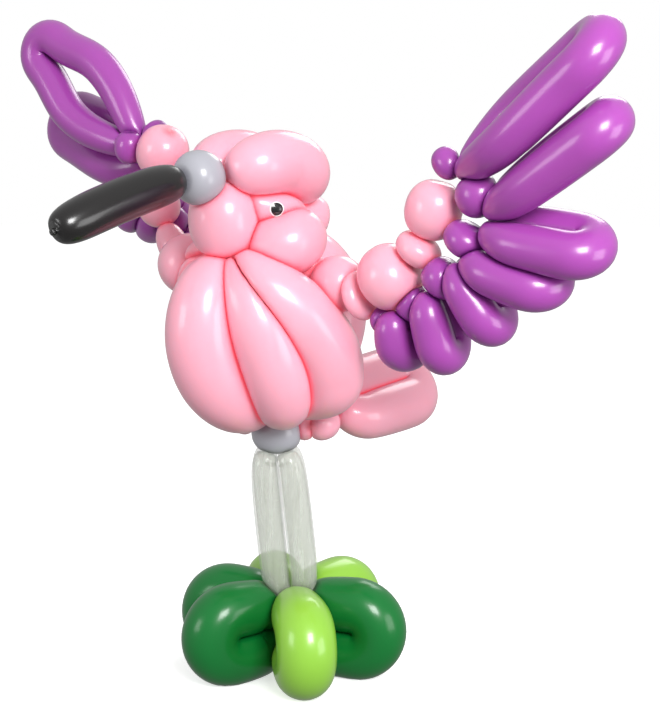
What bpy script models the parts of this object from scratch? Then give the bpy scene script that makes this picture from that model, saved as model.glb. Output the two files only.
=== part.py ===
"""Balloon bird figure: a twisted-balloon bird with spread wings, on a clear post over a ring of green petals.

Frame: +Z up, the bird faces -Y, its left wing is on +X, and the petals stand on the floor at z = 0.
Every balloon is one closed solid. It is a row of bubbles along one centre line, joined by narrow twisted
necks, and it is pressed flat wherever it meets another bubble, as inflated balloons are.
"""

import math
from dataclasses import dataclass, field

import bmesh
import bpy
import numpy as np
from mathutils import Matrix

MM = 0.001

# Thicknesses of the inflated tubes
BREAST_D = 73.0
FRONT_D = 68.0
SIDE_D = 73.0
BACK_D = 78.0
FEATHER_D = 45.0
TAIL_D = 58.0
BEAK_D = 42.0
PETAL_D = 63.0
POST_TUBE_D = 28.0
HIP_BALL_D = 54.0
BEAK_BALL_D = 55.0
FACE_D = 73.0
CHEEK_D = 69.0
BROW_D = 65.0
NAPE_D = 68.0
EYE_D = 15.0

# Twists and contacts
NECK_D = 5.0
CONTACT_GAP = 1.6
ARM_GAP = 3.0
BODY_GAP = 4.4
SHOULDER_GAP = 8.5
TWIST_GAP = 0.5
TWIST_INSET = 0.7
TWIST_RING = 9.0

# Heights and reaches of the whole figure
PETAL_REACH = 131.0
PETAL_HEIGHT = 114.0
FOOT_PRESS = 5.0
HIP_HEIGHT = 296.0
HIP_FORWARD = 20.0
BODY_LENGTH = 174.0
BODY_LEAN = 20.0
BODY_LIFT = 9.0
PRESS_STEPS = 12
ARM_RINGS = (0.0, 0.12, 0.42, 0.76)
SHORT_ARM_RINGS = (0.0, 0.2, 0.62)
BEND_RINGS = (-0.42, -0.21, 0.0, 0.21, 0.42)
SHOULDER_STEP = 2.0

EYE_THICK = 3.0
EYE_GAP = 3.6
EYE_BUBBLE_D = 42.0
EYE_FACE = (0.87, -0.46, 0.17)
HUB_RADIUS = 18.0
HUB_STEP = 18.0
POST_FOOT = 25.0
POST_LEAN = 3.0
HIP_BALL_H = 49.0
TAIL_LENGTH = 128.0
TAIL_SPREAD = 22.0

# Centre lines of the head's bubbles from the neck twist, for the bird's left half
FACE = ((0, -4, 2), (0, -10, 36), (0, -8, 78))
CHEEK = ((36, 66, 39), (43, 38, 19), (13, 12, 20))
BROW = ((10, 84, 63), (29, 68, 86), (30, 42, 96), (29, 8, 93), (11, -10, 81))
NAPE = ((0, 100, 62), (0, 92, 38), (0, 58, 28))
EYE_BUBBLE = ((8, -4, 60), (42, 62, 40))
BEAK_BALL = ((0, -20, 83), (0, -65, 81))
BEAK = ((0, -66, 81), (0, -111, 71), (0, -160, 57), (0, -212, 39))

# Headings of the petals from +X, in degrees, in the order in which each balloon is twisted
LIGHT_PETALS = (-34.0, 90.0, 150.0)
DARK_PETALS = (27.0, 204.0, 257.0)

# Body bubbles in the order in which the balloon is twisted: angle from the breast at the hip and at the neck,
# how far the fullest part stands off the body's axis, thickness, and the share of the height of that part
BODY_BUBBLES = (
    (0.0, 0.0, 70.0, BREAST_D, 0.5),
    (62.0, 56.0, 58.0, FRONT_D, 0.38),
    (110.0, 70.0, 77.0, SIDE_D, 0.32),
    (180.0, 180.0, 112.0, BACK_D, 0.42),
    (-110.0, -70.0, 77.0, SIDE_D, 0.32),
    (-62.0, -56.0, 58.0, FRONT_D, 0.38),
)

# Twists of the tail balloon from the hip twist, then the direction of its loop and of its arms
TAIL_TWISTS = ((-48, -18, -20), (-30, -4, -22), (-8, 36, -22), (28, 24, -20), (24, 62, -20))
TAIL_BUBBLES = (26, 28, 36, 37)
TAIL_BEND = (-32, 24, -22)
TAIL_WAY = (-0.06, 1, 0.06)
TAIL_ACROSS = (-0.7, 0, 0.7)
TAIL_ROOT = (-4, 8, 13)

# Each wing balloon, as the row of its feather loops and small bubbles
WING_BALLOONS = {
    "tip": ("k1", "a", "k2", "b"),
    "middle": ("c", "k3", "d", "e", "k4"),
    "inner": ("f", "k5", "g", "k6"),
}
LONG_FEATHERS = "ab"

COLLECTION = "balloon_bird_figure"
UP = np.array([0.0, 0.0, 1.0])


@dataclass(frozen=True)
class Finish:
    """One balloon colour: base colour in linear values, roughness and how much light passes through."""

    name: str
    color: tuple
    roughness: float = 0.28
    clear: float = 0.0


PINK = Finish("pink_latex", (0.93, 0.47, 0.60))
PURPLE = Finish("purple_latex", (0.33, 0.06, 0.38))
BLACK = Finish("black_latex", (0.012, 0.012, 0.012))
GREY = Finish("grey_latex", (0.40, 0.42, 0.50))
DARK_GREEN = Finish("dark_green_latex", (0.004, 0.17, 0.035))
LIGHT_GREEN = Finish("light_green_latex", (0.30, 0.66, 0.06))
CLEAR = Finish("clear_latex", (0.75, 0.80, 0.74), 0.2, 0.6)


@dataclass(frozen=True)
class WingPlan:
    """One wing from the neck twist, with X outwards: its arm, its feather loops and its small bubbles.

    A feather is its root, its way, the direction across its arms, its length, its thickness, half the
    distance of its arms at their widest and at the fold, and the share of its length where they are widest.
    A small bubble is its two twists and its thickness.
    """

    side: int
    arm: tuple
    arm_d: tuple
    feathers: dict
    knuckles: dict


LEFT_WING = WingPlan(
    1,
    ((22, 43, 1), (53, 78, -14), (100, 73, -39), (122, 75, -31), (168, 84, 2), (184, 88, 26), (198, 92, 80)),
    (34, 58, 52, 68, 48, 56),
    {
        "a": ((230, 92, 88), (152, 16, 130), (-0.2, 0.9, 0.4), 182, 42, 31, 24, 0.45),
        "b": ((256, 94, 54), (130, 20, 92), (-0.2, 0.9, 0.4), 144, FEATHER_D, 18, 18, 0.45),
        "c": ((252, 95, 38), (120, 34, -18), (-0.2, 0.9, 0.4), 104, FEATHER_D, 18, 18, 0.45),
        "d": ((232, 94, 12), (92, 30, -28), (-0.2, 0.9, 0.4), 84, 44, 18, 18, 0.45),
        "e": ((218, 94, 2), (34, 20, -60), (0.1, 0.95, 0.25), 68, 42, 17, 17, 0.45),
        "f": ((186, 92, -27), (10, 14, -60), (0.1, 0.95, 0.25), 64, 42, 17, 17, 0.45),
        "g": ((153, 89, -51), (0, 8, -34), (0.1, 0.95, 0.25), 40, 40, 16, 16, 0.45),
    },
    {
        "k1": ((204, 90, 116), (225, 91, 91), 28),
        "k2": ((231, 92, 84), (256, 92, 54), 40),
        "k3": ((248, 93, 36), (230, 92, 11), 42),
        "k4": ((216, 91, 1), (192, 90, -24), 40),
        "k5": ((183, 88, -27), (155, 86, -49), 35),
        "k6": ((149, 83, -54), (123, 80, -62), 30),
    },
)
RIGHT_WING = WingPlan(
    -1,
    ((20, -11, 7), (64, 4, -8), (118, 30, -20), (150, 32, 24), (168, 30, 70), (158, 26, 82), (124, 22, 126)),
    (34, 60, 34, 50, 30, 58),
    {
        "a": ((182, 24, 108), (150, -25, 117), (-0.6, 0.15, 0.77), 192, 42, 31, 19, 0.62),
        "b": ((198, 46, 90), (132, -2, 42), (-0.3, 0.3, 0.9), 156, FEATHER_D, 24, 20, 0.45),
        "c": ((192, 46, 70), (53, 16, -32), (0.5, 0.6, 0.5), 66, 42, 17, 17, 0.45),
        "d": ((184, 52, 46), (38, 23, -16), (0.5, 0.6, 0.5), 50, 42, 17, 17, 0.45),
        "e": ((172, 54, 44), (12, 22, -24), (0.7, 0.7, 0), 38, 42, 16, 16, 0.45),
        "f": ((150, 58, 10), (0, 22, -22), (0.7, 0.7, 0), 32, 40, 15, 15, 0.45),
        "g": ((128, 56, -4), (-4, 16, -12), (0.7, 0.7, 0), 30, 40, 16, 16, 0.45),
    },
    {
        "k1": ((142, 34, 138), (176, 36, 118), 26),
        "k2": ((178, 8, 126), (184, 10, 92), 32),
        "k3": ((190, 48, 66), (186, 52, 48), 30),
        "k4": ((172, 52, 40), (160, 50, 20), 28),
        "k5": ((148, 56, 6), (132, 56, -4), 28),
        "k6": ((126, 56, -8), (106, 52, -16), 26),
    },
)


@dataclass
class Bubble:
    """One bubble of a balloon: its centre line, its thickness and how blunt its ends are."""

    line: np.ndarray
    radius: float
    blunt: float = 0.94
    power: float = 2.4
    rings: int = 6
    gap: float = CONTACT_GAP
    inward: tuple = None
    shares: np.ndarray = None
    stations: dict = field(default_factory=dict)


@dataclass
class Balloon:
    """One real balloon, which becomes one node."""

    name: str
    finish: Finish
    bubbles: list
    sides: int = 9
    neck: float = NECK_D / 2


def vec(x, y, z):
    """A point or a direction of three numbers, in mm."""
    return np.array([x, y, z], float)


def unit(v):
    """The same direction with length one."""
    return v / np.linalg.norm(v)


def smooth_line(points, count=48):
    """A smooth curve through the points, with its points evenly spaced along it."""
    points = np.array(points, float)
    if len(points) == 2:
        return np.linspace(points[0], points[1], count)
    ends = np.vstack([2 * points[0] - points[1], points, 2 * points[-1] - points[-2]])
    fine = []
    for i in range(len(points) - 1):
        p0, p1, p2, p3 = ends[i : i + 4]
        for t in np.linspace(0, 1, 24, endpoint=False):
            fine.append(
                0.5
                * (2 * p1 + (p2 - p0) * t + (2 * p0 - 5 * p1 + 4 * p2 - p3) * t**2
                   + (3 * p1 - p0 - 3 * p2 + p3) * t**3)
            )
    fine.append(points[-1])
    return evenly(np.array(fine), count)


def evenly(points, count):
    """The same curve with count points at equal distances along it."""
    run = np.concatenate([[0], np.cumsum(np.linalg.norm(np.diff(points, axis=0), axis=1))])
    at = np.linspace(0, run[-1], count)
    return np.column_stack([np.interp(at, run, points[:, k]) for k in range(3)])


def hairpin(root, along, across, length, spread, tip, root_gap=6.0, taper=0.45, count=72):
    """The centre line of a folded loop: out along one arm, round the end and back along the other.

    root is the twist it grows from, along and across are unit directions, length is from the root to
    the far end of the line, and spread and tip are half the distance between the arms, at their
    widest and at the fold.
    """
    along = unit(along)
    across = unit(across - along * np.dot(across, along))
    run = length - tip
    flat = []
    for u in np.linspace(0, 1, 20):
        half = root_gap / 2 + (spread - root_gap / 2) * math.sin(min(u / taper, 1.0) * math.pi / 2) ** 1.2
        if u > taper:
            half = tip + (half - tip) * math.cos((u - taper) / (1 - taper) * math.pi / 2) ** 2
        flat.append((u * run, half))
    for a in np.linspace(90, 0, 8)[1:]:
        turn = math.radians(a)
        flat.append((run + tip * math.cos(turn), tip * math.sin(turn)))
    flat = flat + [(x, -y) for x, y in reversed(flat[:-1])]
    return evenly(np.array([root + along * x + across * y for x, y in flat]), count)


def loop(root, along, across, length, thickness, spread, tip=None, arm_rings=ARM_RINGS, **shape):
    """A folded loop bubble. Its arms press on each other, so each is kept on its own side."""
    tip = spread if tip is None else tip
    line = hairpin(root, along, across, length, spread, tip, **shape)
    bend = math.pi * tip / (2 * (length - tip) + math.pi * tip)
    arm = (0.5 - bend / 2) * np.array(arm_rings)
    shares = np.concatenate([arm, 0.5 + bend * np.array(BEND_RINGS), 1 - arm[::-1]])
    along = unit(along)
    across = unit(across - along * np.dot(across, along))
    return Bubble(line, thickness / 2, 0.995, 3.4, len(shares), CONTACT_GAP, (root, across), shares)


def round_bubble(start, end, thickness, rings=4, blunt=0.90, bend=None):
    """A short bubble between two twists, straight or through one more point."""
    points = [start, end] if bend is None else [start, bend, end]
    return Bubble(smooth_line(points, 24), thickness / 2, blunt=blunt, power=2.2, rings=rings)


def chain(points, thicknesses, blunt=0.86):
    """Short bubbles in a row, each between two of the points."""
    return [
        round_bubble(a, b, d, 6 if np.linalg.norm(b - a) > 0.8 * d else 4, blunt)
        for a, b, d in zip(points[:-1], points[1:], thicknesses)
    ]


def profile(share, bubble):
    """Thickness along a bubble, as a share of the greatest: share runs from 0 at one twist to 1."""
    t = abs(2 * share - 1) * bubble.blunt
    return (1 - t**bubble.power) ** (1 / bubble.power)


def measure(balloon):
    """Give every bubble its ring stations, and the balls that fill it, which press on its neighbours."""
    for bubble in balloon.bubbles:
        line = bubble.line
        run = np.concatenate([[0], np.cumsum(np.linalg.norm(np.diff(line, axis=0), axis=1))])
        share = bubble.shares
        if share is None:
            even = np.linspace(0, 1, bubble.rings)
            share = 0.45 * even + 0.55 * (0.5 - 0.5 * np.cos(math.pi * even))
        inset = TWIST_INSET / run[-1]
        share = inset + (1 - 2 * inset) * share
        centre = np.column_stack([np.interp(share * run[-1], run, line[:, k]) for k in range(3)])
        bubble.stations = {
            "centre": centre,
            "tangent": tangents(line, run, share * run[-1]),
            "radius": bubble.radius * profile(share, bubble),
            "run": share * run[-1],
        }
        count = 28 if run[-1] > 3 * bubble.radius else 12
        pick = np.linspace(0, 1, count)
        balls = np.column_stack([np.interp(pick * run[-1], run, line[:, k]) for k in range(3)])
        nominal = bubble.radius * profile(pick, bubble)
        edge = np.minimum(pick, 1 - pick) * run[-1]
        room = np.minimum(nominal, np.sqrt(edge**2 + balloon.neck**2))
        bubble.stations["balls"], bubble.stations["ball_radius"] = with_shoulders(
            balls, tangents(line, run, pick * run[-1]), nominal, room
        )
        bubble.stations["low"] = (balls - nominal[:, None]).min(axis=0)
        bubble.stations["high"] = (balls + nominal[:, None]).max(axis=0)


def with_shoulders(balls, ways, nominal, room):
    """The balls on the centre line, and smaller ones round it that fill the shoulders by each twist."""
    centres, radii = [balls], [room]
    for c, way, wide, r in zip(balls, ways, nominal, room):
        if wide - r > SHOULDER_STEP and r > SHOULDER_STEP:
            up = first_up(way)
            for turn in np.linspace(0, 2 * math.pi, 8, endpoint=False):
                ray = math.cos(turn) * up + math.sin(turn) * np.cross(way, up)
                centres.append((c + ray * (wide - r))[None, :])
                radii.append(np.array([r]))
    return np.vstack(centres), np.concatenate(radii)


def tangents(line, run, at):
    """Unit directions of the centre line at the given distances along it."""
    step = run[-1] / 60
    ahead = np.column_stack([np.interp(np.minimum(at + step, run[-1]), run, line[:, k]) for k in range(3)])
    behind = np.column_stack([np.interp(np.maximum(at - step, 0), run, line[:, k]) for k in range(3)])
    way = ahead - behind
    return way / np.linalg.norm(way, axis=1)[:, None]


def depth_in(points, balls, radii):
    """How far each point is outside the nearest of the balls; less than 0 is inside it."""
    apart = np.linalg.norm(points[:, None, :] - balls[None, :, :], axis=2) - radii[None, :]
    return apart.min(axis=1)


def press(bubble, others, gap, centres, rays, reach, neck):
    """Shorten each ray so that its end stays clear of the neighbours that this bubble presses on."""
    mine = bubble.stations
    ends = centres + rays * reach[:, None]
    low = ends.min(axis=0) - CONTACT_GAP
    high = ends.max(axis=0) + CONTACT_GAP
    near = [o for o in others if np.all(o["low"] < high) and np.all(o["high"] > low)]
    if near:
        balls = np.vstack([o["balls"] for o in near])
        radii = np.concatenate([o["ball_radius"] for o in near])
        short = np.minimum(reach, neck)
        long = reach.copy()
        for attempt in range(PRESS_STEPS):
            test = long if attempt == 0 else (short + long) / 2
            at = centres + rays * test[:, None]
            clear = depth_in(at, balls, radii) - depth_in(at, mine["balls"], mine["ball_radius"])
            good = clear >= gap
            short = np.where(good, test, short)
            long = np.where(good, long, test)
        reach = short
    return reach


def stand(centres, rays, reach):
    """Shorten each ray that would pass through the floor, so that a petal stands on a flat foot."""
    drop = -rays[:, 2]
    floor = np.where(drop > 1e-6, centres[:, 2] / np.maximum(drop, 1e-6), np.inf)
    return np.minimum(reach, np.maximum(floor, 0))


def hold_arms_apart(bubble, centres, rays, reach, neck):
    """Keep each arm of a folded loop on its own side of the fold, where the two arms press."""
    root, across = bubble.inward
    side = (centres - root) @ across
    toward = -(rays @ across) * np.sign(side)
    room = np.maximum(np.abs(side) - CONTACT_GAP / 2, 0)
    limit = np.where(toward > 1e-6, room / np.maximum(toward, 1e-6), np.inf)
    return np.minimum(reach, np.maximum(limit, np.minimum(neck, reach)))


def rings_of(balloon, others):
    """The rings of a balloon's skin, one after another, each a row of points round the centre line."""
    rings = []
    up = None
    last = None
    angles = np.linspace(0, 2 * math.pi, balloon.sides, endpoint=False)
    for index, bubble in enumerate(balloon.bubbles):
        beside = [b.stations for b in balloon.bubbles if b is not bubble]
        data = bubble.stations
        square = None
        if bubble.inward is not None:
            square = unit(np.cross(data["tangent"][0], bubble.inward[1]))
        if last is not None:
            middle = (last[0] + data["centre"][0]) / 2
            way = unit(last[1] + data["tangent"][0] + 0.001 * UP)
            up = carried(up, way)
            rings.append(ring_at(middle, way, up, angles, balloon.neck * np.ones(balloon.sides)))
        if square is not None:
            up = lined_up(up, data["tangent"][0], square, balloon.sides)
        for c, t, r in zip(data["centre"], data["tangent"], data["radius"]):
            up = carried(up if up is not None else first_up(t), t)
            rays = np.cos(angles)[:, None] * up + np.sin(angles)[:, None] * np.cross(t, up)
            reach = np.full(balloon.sides, max(r, balloon.neck))
            centres = np.repeat(c[None, :], balloon.sides, axis=0)
            reach = press(bubble, others, bubble.gap, centres, rays, reach, balloon.neck)
            reach = press(bubble, beside, TWIST_GAP, centres, rays, reach, balloon.neck)
            if bubble.inward is not None:
                reach = hold_arms_apart(bubble, centres, rays, reach, balloon.neck)
            reach = stand(centres, rays, reach)
            rings.append(centres + rays * reach[:, None])
        last = (data["centre"][-1], data["tangent"][-1])
    return rings


def first_up(tangent):
    """A direction square to the first tangent."""
    return unit(np.cross(tangent, UP if abs(tangent[2]) < 0.9 else vec(1, 0, 0)))


def carried(up, tangent):
    """The same up direction, turned as little as it can be to stay square to the next tangent."""
    return unit(up - tangent * np.dot(up, tangent))


def lined_up(up, tangent, square, sides):
    """The up direction turned by less than one side of the ring, so that its corners match the fold."""
    if up is None:
        return square
    beside = np.cross(tangent, square)
    step = 2 * math.pi / sides
    turn = round(math.atan2(up @ beside, up @ square) / step) * step
    return math.cos(turn) * square + math.sin(turn) * beside


def ring_at(centre, tangent, up, angles, reach):
    """One ring of points round a centre."""
    rays = np.cos(angles)[:, None] * up + np.sin(angles)[:, None] * np.cross(tangent, up)
    return centre + rays * reach[:, None]


def skin(balloon, rings):
    """A sphere drawn out along the centre line, so that each of its circles becomes one ring."""
    mesh = bpy.data.meshes.new(balloon.name)
    shape = bmesh.new()
    bmesh.ops.create_uvsphere(shape, u_segments=balloon.sides, v_segments=len(rings) + 1, radius=1.0)
    first = balloon.bubbles[0].line[0]
    last = balloon.bubbles[-1].line[-1]
    step = math.pi / (len(rings) + 1)
    for vert in shape.verts:
        flat = math.hypot(vert.co.x, vert.co.y)
        row = round(math.atan2(flat, vert.co.z) / step)
        if row == 0:
            place = first
        elif row == len(rings) + 1:
            place = last
        else:
            turn = math.atan2(vert.co.y, vert.co.x) / (2 * math.pi) * balloon.sides
            place = rings[row - 1][round(turn) % balloon.sides]
        vert.co = place * MM
    bmesh.ops.recalc_face_normals(shape, faces=shape.faces)
    if shape.calc_volume(signed=True) < 0:
        bmesh.ops.reverse_faces(shape, faces=shape.faces)
    shape.to_mesh(mesh)
    shape.free()
    mesh.shade_smooth()
    return mesh


def material(finish):
    """The Principled material of one balloon colour."""
    found = bpy.data.materials.get(finish.name)
    if found:
        return found
    made = bpy.data.materials.new(finish.name)
    made.use_nodes = True
    shader = made.node_tree.nodes["Principled BSDF"]
    shader.inputs["Base Color"].default_value = (*finish.color, 1.0)
    shader.inputs["Roughness"].default_value = finish.roughness
    shader.inputs["Metallic"].default_value = 0.0
    shader.inputs["Transmission Weight"].default_value = finish.clear
    return made


def heading(degrees):
    """The level direction at this angle from +X."""
    return vec(math.cos(math.radians(degrees)), math.sin(math.radians(degrees)), 0)


def ring_point(centre, normal, front, angle, radius):
    """A point on a circle round centre: normal is its axis and angle is measured from front."""
    side = np.cross(normal, front)
    return centre + radius * (math.cos(angle) * front + math.sin(angle) * side)


HUB = vec(0, 0, PETAL_HEIGHT / 2 - FOOT_PRESS)
HIP = vec(0, -HIP_FORWARD, HIP_HEIGHT)
BODY_UP = vec(0, -math.sin(math.radians(BODY_LEAN)), math.cos(math.radians(BODY_LEAN)))
BODY_FRONT = vec(0, -BODY_UP[2], BODY_UP[1])
NECK = HIP + BODY_UP * BODY_LENGTH


def petal(angle, rising):
    """One folded loop of the base, standing on edge. It starts at its upper root if rising is False."""
    out = heading(angle)
    spread = (PETAL_HEIGHT - PETAL_D) / 2
    root = HUB + out * HUB_RADIUS
    length = PETAL_REACH - PETAL_D / 2 - HUB_RADIUS
    way = -UP if rising else UP
    return loop(root, out, way, length, PETAL_D, spread, None, SHORT_ARM_RINGS, root_gap=HUB_STEP)


def base():
    """Two balloons of three petals each: light green and dark green, round one hub."""
    light = [petal(angle, rising) for angle, rising in zip(LIGHT_PETALS, (True, False, True))]
    dark = [petal(angle, rising) for angle, rising in zip(DARK_PETALS, (False, True, False))]
    return [
        Balloon("base_petals_light", LIGHT_GREEN, light, sides=10),
        Balloon("base_petals_dark", DARK_GREEN, dark, sides=10),
    ]


def post():
    """Four clear tubes in a bundle, from the hub of the petals up to the ball under the hip."""
    foot = HUB + UP * POST_FOOT + heading(45) * POST_LEAN
    top = HIP - UP * (HIP_BALL_H + TWIST_INSET)
    out = POST_TUBE_D / 2 * math.sqrt(2)
    tubes = []
    for number in range(4):
        side = heading(90 * number)
        points = [
            foot + side * out * 0.45,
            foot + (top - foot) * 0.12 + side * out,
            foot + (top - foot) * 0.88 + side * out * 0.95,
            top + side * out * 0.45,
        ]
        tube = Bubble(smooth_line(points), POST_TUBE_D / 2, blunt=0.97, power=5.0, rings=7)
        tubes.append(Balloon(f"post_tube_{number + 1}", CLEAR, [tube], sides=7))
    return tubes


def hip_ball():
    """The small grey ball between the post and the body."""
    low = HIP - UP * HIP_BALL_H
    ball = Bubble(smooth_line([low, HIP - UP * NECK_D]), HIP_BALL_D / 2, blunt=0.93, power=2.2, rings=7)
    return Balloon("hip_ball", GREY, [ball], sides=10)


def body_bubble(low, high, bulge, thickness, full, upward):
    """One long bubble of the body, bowed out between the hip twist and the neck twist.

    low and high are its angles from the breast round to the bird's left at the hip and at the neck,
    bulge is how far its fullest part stands off the body's axis, and full is the height of that part.
    """
    lean = math.log(0.5) / math.log(full)
    foot = HIP + BODY_UP * BODY_LIFT
    points = []
    for share in (0.0, 0.09, 0.22, 0.4, 0.6, 0.78, 0.91, 1.0):
        turn = math.radians(low + (high - low) * share**2.5)
        bow = (1 - abs(2 * share**lean - 1) ** 2.2) ** 0.7
        out = TWIST_RING + (bulge - TWIST_RING) * bow
        points.append(ring_point(foot + (NECK - foot) * share, BODY_UP, BODY_FRONT, turn, out))
    if not upward:
        points.reverse()
    return Bubble(smooth_line(points), thickness / 2, blunt=0.98, power=2.6, rings=9, gap=BODY_GAP)


def body():
    """Six long bubbles side by side, zigzagging between the hip and the neck."""
    bubbles = [
        body_bubble(*spec, upward=number % 2 == 0) for number, spec in enumerate(BODY_BUBBLES)
    ]
    return Balloon("body", PINK, bubbles, sides=10)


def tail():
    """Small bubbles round the hip, then the folded tail loop."""
    twists = [HIP + vec(*p) for p in TAIL_TWISTS]
    small = chain(twists, TAIL_BUBBLES)
    small[1] = round_bubble(twists[1], twists[2], TAIL_BUBBLES[1], bend=HIP + vec(*TAIL_BEND))
    root = twists[-1] + vec(*TAIL_ROOT)
    fold = loop(root, vec(*TAIL_WAY), vec(*TAIL_ACROSS), TAIL_LENGTH, TAIL_D, TAIL_SPREAD, taper=0.35)
    return Balloon("tail", PINK, small + [fold])


def mirrored(point, side):
    """A point of the left half, or its mirror image on the right half when side is -1."""
    return vec(point[0] * side, point[1], point[2])


def wing(word, plan):
    """One wing: the pink arm from the neck, and three purple balloons of loops and small bubbles."""

    def place(point):
        return NECK + mirrored(point, plan.side)

    arm_bubbles = chain([place(twist) for twist in plan.arm], plan.arm_d)
    for number, bubble in enumerate(arm_bubbles):
        bubble.gap = SHOULDER_GAP if number < 2 else ARM_GAP
    balloons = [Balloon(f"{word}_wing_arm", PINK, arm_bubbles)]
    for part, row in WING_BALLOONS.items():
        bubbles = []
        for item in row:
            if item in plan.knuckles:
                start, end, thickness = plan.knuckles[item]
                bubbles.append(round_bubble(place(start), place(end), thickness))
            else:
                root, along, across, length, thickness, spread, tip, widest = plan.feathers[item]
                rows = ARM_RINGS if item in LONG_FEATHERS else SHORT_ARM_RINGS
                way, side = mirrored(along, plan.side), mirrored(across, plan.side)
                fold = loop(place(root), way, side, length, thickness, spread, tip, rows, taper=widest)
                bubbles.append(fold)
        balloons.append(Balloon(f"{word}_wing_{part}_feathers", PURPLE, bubbles, sides=7))
    return balloons


def neck_row(points, side=1):
    """These places from the neck twist, on one side of the bird."""
    return [NECK + mirrored(point, side) for point in points]


def head():
    """Face, eye bubbles and cheeks in one balloon."""
    face = Bubble(smooth_line(neck_row(FACE)), FACE_D / 2, 0.95, 2.2, 7)
    eyes = [neck_row(EYE_BUBBLE, side) for side in (1, -1)]
    start, bend, end = neck_row(CHEEK)
    left = round_bubble(start, end, CHEEK_D, bend=bend, rings=7)
    start, bend, end = neck_row(CHEEK, -1)
    right = round_bubble(end, start, CHEEK_D, bend=bend, rings=7)
    left_eye = round_bubble(*eyes[0], EYE_BUBBLE_D, blunt=0.94)
    right_eye = round_bubble(*reversed(eyes[1]), EYE_BUBBLE_D, blunt=0.94)
    for bubble in (face, left, right):
        bubble.gap = BODY_GAP
    return Balloon("head", PINK, [face, left_eye, left, right, right_eye])


def brows():
    """The two long bubbles over the crown, and the bubble at the nape."""
    left = Bubble(smooth_line(neck_row(BROW)), BROW_D / 2, 0.95, 2.6, 8)
    right = Bubble(smooth_line(neck_row(BROW, -1)[::-1]), BROW_D / 2, 0.95, 2.6, 8)
    top, bend, low = neck_row(NAPE)
    nape = round_bubble(top, low, NAPE_D, bend=bend, rings=6)
    nape.gap = SHOULDER_GAP
    left.gap = right.gap = ARM_GAP
    return Balloon("brows_and_nape", PINK, [left, right, nape])


def beak():
    """The grey ball at the face and the long black beak."""
    ball = Bubble(smooth_line(neck_row(BEAK_BALL)), BEAK_BALL_D / 2, 0.9, 2.2, 7)
    long = Bubble(smooth_line(neck_row(BEAK)), BEAK_D / 2, 0.99, 4.0, 9)
    return [
        Balloon("beak_ball", GREY, [ball], sides=10),
        Balloon("beak", BLACK, [long], sides=10),
    ]


def eye(word, side):
    """A thin black disc stuck on the eye bubble."""
    face = unit(mirrored(EYE_FACE, side))
    middle = (mirrored(EYE_BUBBLE[0], side) + mirrored(EYE_BUBBLE[1], side)) / 2
    spot = NECK + middle + face * (EYE_BUBBLE_D / 2 + EYE_GAP)
    shape = bmesh.new()
    bmesh.ops.create_uvsphere(shape, u_segments=12, v_segments=4, radius=1.0)
    for vert in shape.verts:
        vert.co.x *= EYE_D / 2
        vert.co.y *= EYE_D / 2
        vert.co.z *= EYE_THICK / 2
    across = unit(np.cross(face, UP))
    turn = Matrix(np.column_stack([across, np.cross(face, across), face]).tolist())
    shape.transform(turn.to_4x4())
    bmesh.ops.translate(shape, verts=shape.verts, vec=spot + face * EYE_THICK / 2)
    bmesh.ops.scale(shape, verts=shape.verts, vec=(MM, MM, MM))
    if shape.calc_volume(signed=True) < 0:
        bmesh.ops.reverse_faces(shape, faces=shape.faces)
    mesh = bpy.data.meshes.new(f"eye_{word}")
    shape.to_mesh(mesh)
    shape.free()
    mesh.shade_smooth()
    return mesh


def figure():
    """Every balloon of the figure."""
    balloons = base() + post() + [hip_ball(), body(), tail(), head(), brows()] + beak()
    balloons += wing("left", LEFT_WING) + wing("right", RIGHT_WING)
    return balloons


def add_object(name, mesh, finish, collection, holder):
    """One named object in the figure's collection, held by the empty at its reference point."""
    mesh.materials.append(material(finish))
    made = bpy.data.objects.new(name, mesh)
    collection.objects.link(made)
    made.parent = holder
    return made


def build():
    """Build the figure, with the middle of its underside at the origin."""
    for old in list(bpy.data.objects):
        bpy.data.objects.remove(old, do_unlink=True)
    collection = bpy.data.collections.new(COLLECTION)
    bpy.context.scene.collection.children.link(collection)
    holder = bpy.data.objects.new("reference_point", None)
    collection.objects.link(holder)
    balloons = figure()
    for balloon in balloons:
        measure(balloon)
    made = []
    for balloon in balloons:
        others = [b.stations for other in balloons if other is not balloon for b in other.bubbles]
        mesh = skin(balloon, rings_of(balloon, others))
        made.append(add_object(balloon.name, mesh, balloon.finish, collection, holder))
    for word, side in (("left", 1), ("right", -1)):
        made.append(add_object(f"eye_{word}", eye(word, side), BLACK, collection, holder))
    corners = np.array([v.co[:] for piece in made for v in piece.data.vertices])
    low, high = corners.min(axis=0), corners.max(axis=0)
    holder.location = (-(low[0] + high[0]) / 2, -(low[1] + high[1]) / 2, -low[2])


build()
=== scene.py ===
"""Balloon bird figure: inflated latex skins, twists, eyes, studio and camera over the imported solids.

Every real balloon is one class of row here: bubbles on a centre line between twists. The skin of each bubble
is swelled out from that line and pressed where it meets its neighbours, with the round edge that stretched
latex has there. Lengths are in millimetres until a mesh is made, in the frame +Z up, bird facing -Y.
"""

import logging
import math
from dataclasses import dataclass, field
from enum import Enum

import bpy
import numpy as np
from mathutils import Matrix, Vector
from mathutils.bvhtree import BVHTree

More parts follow.
